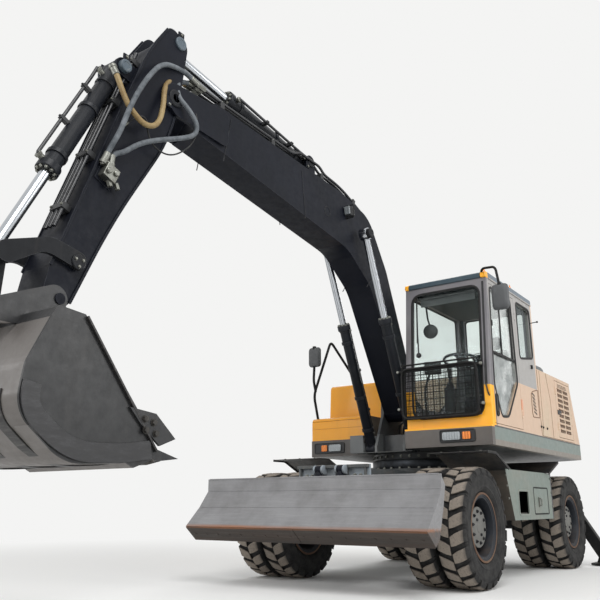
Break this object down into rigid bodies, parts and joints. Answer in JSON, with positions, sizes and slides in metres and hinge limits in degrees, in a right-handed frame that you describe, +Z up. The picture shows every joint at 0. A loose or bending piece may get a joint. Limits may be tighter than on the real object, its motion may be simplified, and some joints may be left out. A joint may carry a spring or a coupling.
{
  "type": "wheeled excavator",
  "caption": "Wheeled excavator with a cab, mono boom, arm and bucket on a slewing upper structure, twin tyres, a front dozer blade and rear outriggers.",
  "frame": {"origin": "on the ground, in the median plane, below the middle of the machine's length", "axes": "+X forward, +Y the machine's left, +Z up"},
  "size_m": [8.0423, 3.06, 4.3292],
  "materials": {
    "dark": "semi-gloss dark charcoal paint, dusty and chipped",
    "yellow": "semi-gloss yellow-orange paint",
    "beige": "faded peach and beige paint with faint stains",
    "grey": "satin mid grey paint, scuffed",
    "chassis_grey": "satin light blue-grey paint, dusty",
    "mint": "faded mint-grey paint with light stains",
    "blade_grey": "scratched mid grey paint, rusty along the edge",
    "rim_grey": "satin blue-grey paint, dusty",
    "axle_grey": "dusty painted castings",
    "ring_steel": "bare machined steel",
    "chrome_rod": "polished hard chrome",
    "tyre_rubber": "dusty dark rubber",
    "cab_glass": "clear, slightly tinted pane",
    "engine_alloy": "plain castings",
    "plastic": "matte black plastic",
    "seat_cloth": "dark woven seat cloth",
    "lens": "clear and amber lamp lenses"
  },
  "bodies": {
    "chassis": {"chassis_frame": "chassis_grey", "front_axle": "axle_grey", "rear_axle": "axle_grey", "drive_line": "axle_grey", "slew_ring": "ring_steel", "step_box_left": "mint", "step_box_right": "mint"},
    "upper": {"upper_deck": "grey", "counterweight": "grey", "engine_block": "engine_alloy", "engine_housing": "beige", "tank_boxes": "yellow", "cab_shell": "grey", "cab_glass": "cab_glass", "cab_roof": "grey", "cab_floor": "plastic", "seat": "seat_cloth", "window_guard": "dark", "mirror_left": "plastic", "mirror_right": "plastic", "lamps": "lens"},
    "cab_door": {"cab_door": "grey", "cab_door_glass": "cab_glass"},
    "wheel_front_left": {"rims_front_left": "rim_grey", "tyres_front_left": "tyre_rubber"},
    "wheel_front_right": {"rims_front_right": "rim_grey", "tyres_front_right": "tyre_rubber"},
    "wheel_rear_left": {"rims_rear_left": "rim_grey", "tyres_rear_left": "tyre_rubber"},
    "wheel_rear_right": {"rims_rear_right": "rim_grey", "tyres_rear_right": "tyre_rubber"},
    "box_door_left": {"box_door_left": "mint"},
    "box_door_right": {"box_door_right": "mint"},
    "blade": {"blade": "blade_grey"},
    "blade_barrels": {"blade_barrels": "grey"},
    "blade_rods": {"blade_rods": "chrome_rod"},
    "outrigger_leg_left": {"outrigger_leg_left": "grey"},
    "outrigger_leg_right": {"outrigger_leg_right": "grey"},
    "outrigger_barrel_left": {"outrigger_barrel_left": "grey"},
    "outrigger_barrel_right": {"outrigger_barrel_right": "grey"},
    "outrigger_rod_left": {"outrigger_rod_left": "chrome_rod"},
    "outrigger_rod_right": {"outrigger_rod_right": "chrome_rod"},
    "knuckle_left": {"knuckle_left": "axle_grey"},
    "knuckle_right": {"knuckle_right": "axle_grey"},
    "engine_hood": {"engine_hood": "beige"},
    "service_door_left": {"service_door_left": "beige"},
    "service_door_right": {"service_door_right": "beige"},
    "boom": {"boom": "dark"},
    "boom_barrels": {"boom_barrels": "dark"},
    "boom_rods": {"boom_rods": "chrome_rod"},
    "arm_barrel": {"arm_barrel": "dark"},
    "arm_rod": {"arm_rod": "chrome_rod"},
    "arm": {"arm": "dark"},
    "bucket_barrel": {"bucket_barrel": "dark"},
    "bucket_rod": {"bucket_rod": "chrome_rod"},
    "rocker": {"rocker": "dark"},
    "bucket_link": {"bucket_link": "dark"},
    "bucket": {"bucket": "dark"}
  },
  "joints": [
    {"name": "slew", "type": "hinge", "parent": "chassis", "child": "upper", "pos_m": [-1.6925, 0, 1.195], "axis": [0, 0, 1], "continuous": true},
    {"name": "steer_left", "type": "hinge", "parent": "chassis", "child": "knuckle_left", "pos_m": [-0.31, 0.545, 0.527], "axis": [0, 0, 1], "range_deg": [-28, 28]},
    {"name": "steer_right", "type": "hinge", "parent": "chassis", "child": "knuckle_right", "pos_m": [-0.31, -0.545, 0.527], "axis": [0, 0, 1], "range_deg": [-28, 28]},
    {"name": "wheel_front_left_spin", "type": "hinge", "parent": "knuckle_left", "child": "wheel_front_left", "pos_m": [-0.31, 0.93, 0.527], "axis": [0, 1, 0], "continuous": true},
    {"name": "wheel_rear_left_spin", "type": "hinge", "parent": "chassis", "child": "wheel_rear_left", "pos_m": [-3.075, 0.93, 0.527], "axis": [0, 1, 0], "continuous": true},
    {"name": "wheel_front_right_spin", "type": "hinge", "parent": "knuckle_right", "child": "wheel_front_right", "pos_m": [-0.31, -0.93, 0.527], "axis": [0, 1, 0], "continuous": true},
    {"name": "wheel_rear_right_spin", "type": "hinge", "parent": "chassis", "child": "wheel_rear_right", "pos_m": [-3.075, -0.93, 0.527], "axis": [0, 1, 0], "continuous": true},
    {"name": "boom_lift", "type": "hinge", "parent": "upper", "child": "boom", "pos_m": [-1.16, 0, 1.75], "axis": [0, -1, 0], "range_deg": [-60, 30]},
    {"name": "boom_barrel_swing", "type": "hinge", "parent": "upper", "child": "boom_barrels", "pos_m": [-0.93, 0, 1.31], "axis": [0, -1, 0], "range_deg": [-56, 28]},
    {"name": "boom_rod_slide", "type": "slide", "parent": "boom_barrels", "child": "boom_rods", "axis": [0.3965, 0, 0.918], "range_m": [-0.4425, 0.2225]},
    {"name": "arm_swing", "type": "hinge", "parent": "boom", "child": "arm", "pos_m": [2.69, 0, 3.71], "axis": [0, 1, 0], "range_deg": [-50, 50]},
    {"name": "arm_barrel_swing", "type": "hinge", "parent": "boom", "child": "arm_barrel", "pos_m": [0.77, 0, 3.985], "axis": [0, 1, 0], "range_deg": [-2, 2]},
    {"name": "arm_rod_slide", "type": "slide", "parent": "arm_barrel", "child": "arm_rod", "axis": [0.9906, 0, 0.137], "range_m": [-0.415, 0.415]},
    {"name": "bucket_curl", "type": "hinge", "parent": "arm", "child": "bucket", "pos_m": [3.55, 0, 1.91], "axis": [0, 1, 0], "range_deg": [-90, 45]},
    {"name": "rocker_swing", "type": "hinge", "parent": "arm", "child": "rocker", "pos_m": [3.434, 0, 2.177], "axis": [0, 1, 0], "range_deg": [-72, 36]},
    {"name": "link_swing", "type": "hinge", "parent": "rocker", "child": "bucket_link", "pos_m": [3.936, 0, 2.096], "axis": [0, 1, 0], "range_deg": [-30, 60]},
    {"name": "bucket_barrel_swing", "type": "hinge", "parent": "arm", "child": "bucket_barrel", "pos_m": [3.143, 0, 3.769], "axis": [0, 1, 0], "range_deg": [-7, 4]},
    {"name": "bucket_rod_slide", "type": "slide", "parent": "bucket_barrel", "child": "bucket_rod", "axis": [0.4283, 0, -0.9036], "range_m": [-0.556, 0.28]},
    {"name": "blade_lift", "type": "hinge", "parent": "chassis", "child": "blade", "pos_m": [0.11, 0, 0.56], "axis": [0, -1, 0], "range_deg": [-38, 4]},
    {"name": "blade_barrel_swing", "type": "hinge", "parent": "chassis", "child": "blade_barrels", "pos_m": [0.315, 0, 1.035], "axis": [0, -1, 0], "range_deg": [-15, 2]},
    {"name": "blade_rod_slide", "type": "slide", "parent": "blade_barrels", "child": "blade_rods", "axis": [0.4124, 0, -0.911], "range_m": [-0.026, 0.23]},
    {"name": "outrigger_left_lift", "type": "hinge", "parent": "chassis", "child": "outrigger_leg_left", "pos_m": [-3.73, 0.43, 0.7], "axis": [1, 0, 0], "range_deg": [0, 45]},
    {"name": "outrigger_left_barrel_swing", "type": "hinge", "parent": "chassis", "child": "outrigger_barrel_left", "pos_m": [-3.73, 0.3, 1.01], "axis": [1, 0, 0], "range_deg": [0, 37]},
    {"name": "outrigger_left_rod_slide", "type": "slide", "parent": "outrigger_barrel_left", "child": "outrigger_rod_left", "axis": [0, 0.961, -0.2765], "range_m": [-0.238, 0]},
    {"name": "outrigger_right_lift", "type": "hinge", "parent": "chassis", "child": "outrigger_leg_right", "pos_m": [-3.73, -0.43, 0.7], "axis": [-1, 0, 0], "range_deg": [0, 45]},
    {"name": "outrigger_right_barrel_swing", "type": "hinge", "parent": "chassis", "child": "outrigger_barrel_right", "pos_m": [-3.73, -0.3, 1.01], "axis": [-1, 0, 0], "range_deg": [0, 37]},
    {"name": "outrigger_right_rod_slide", "type": "slide", "parent": "outrigger_barrel_right", "child": "outrigger_rod_right", "axis": [0, -0.961, -0.2765], "range_m": [-0.238, 0]},
    {"name": "cab_door_swing", "type": "hinge", "parent": "upper", "child": "cab_door", "pos_m": [-1.5045, 1.255, 2.2], "axis": [0, 0, 1], "range_deg": [0, 120]},
    {"name": "service_door_left_swing", "type": "hinge", "parent": "upper", "child": "service_door_left", "pos_m": [-2.7895, 1.255, 1.84], "axis": [0, 0, -1], "range_deg": [0, 110]},
    {"name": "box_door_left_swing", "type": "hinge", "parent": "chassis", "child": "box_door_left", "pos_m": [-1.793, 1.21, 0.76], "axis": [0, 0, -1], "range_deg": [0, 110]},
    {"name": "service_door_right_swing", "type": "hinge", "parent": "upper", "child": "service_door_right", "pos_m": [-2.7895, -1.255, 1.84], "axis": [0, 0, 1], "range_deg": [0, 110]},
    {"name": "box_door_right_swing", "type": "hinge", "parent": "chassis", "child": "box_door_right", "pos_m": [-1.793, -1.21, 0.76], "axis": [0, 0, 1], "range_deg": [0, 110]},
    {"name": "engine_hood_lift", "type": "hinge", "parent": "upper", "child": "engine_hood", "pos_m": [-2.5895, 0, 2.233], "axis": [0, 1, 0], "range_deg": [0, 60]}
  ],
  "couplings": [
    {"joint": "steer_right", "follows": "steer_left", "ratio": 1},
    {"joint": "boom_barrel_swing", "follows": "boom_lift", "ratio": 0.9086},
    {"joint": "boom_rod_slide", "follows": "boom_lift", "m_per_rad": 0.4212},
    {"joint": "arm_barrel_swing", "follows": "arm_swing", "ratio": 0.0092},
    {"joint": "arm_rod_slide", "follows": "arm_swing", "m_per_rad": 0.4734},
    {"joint": "rocker_swing", "follows": "bucket_curl", "ratio": 0.7947},
    {"joint": "link_swing", "follows": "bucket_curl", "ratio": -0.6526},
    {"joint": "bucket_barrel_swing", "follows": "bucket_curl", "ratio": 0.0687},
    {"joint": "bucket_rod_slide", "follows": "bucket_curl", "m_per_rad": 0.3521},
    {"joint": "blade_barrel_swing", "follows": "blade_lift", "ratio": 0.3773},
    {"joint": "blade_rod_slide", "follows": "blade_lift", "m_per_rad": -0.3443},
    {"joint": "outrigger_left_barrel_swing", "follows": "outrigger_left_lift", "ratio": 0.7989},
    {"joint": "outrigger_left_rod_slide", "follows": "outrigger_left_lift", "m_per_rad": -0.3002},
    {"joint": "outrigger_right_barrel_swing", "follows": "outrigger_right_lift", "ratio": 0.7989},
    {"joint": "outrigger_right_rod_slide", "follows": "outrigger_right_lift", "m_per_rad": -0.3002}
  ]
}
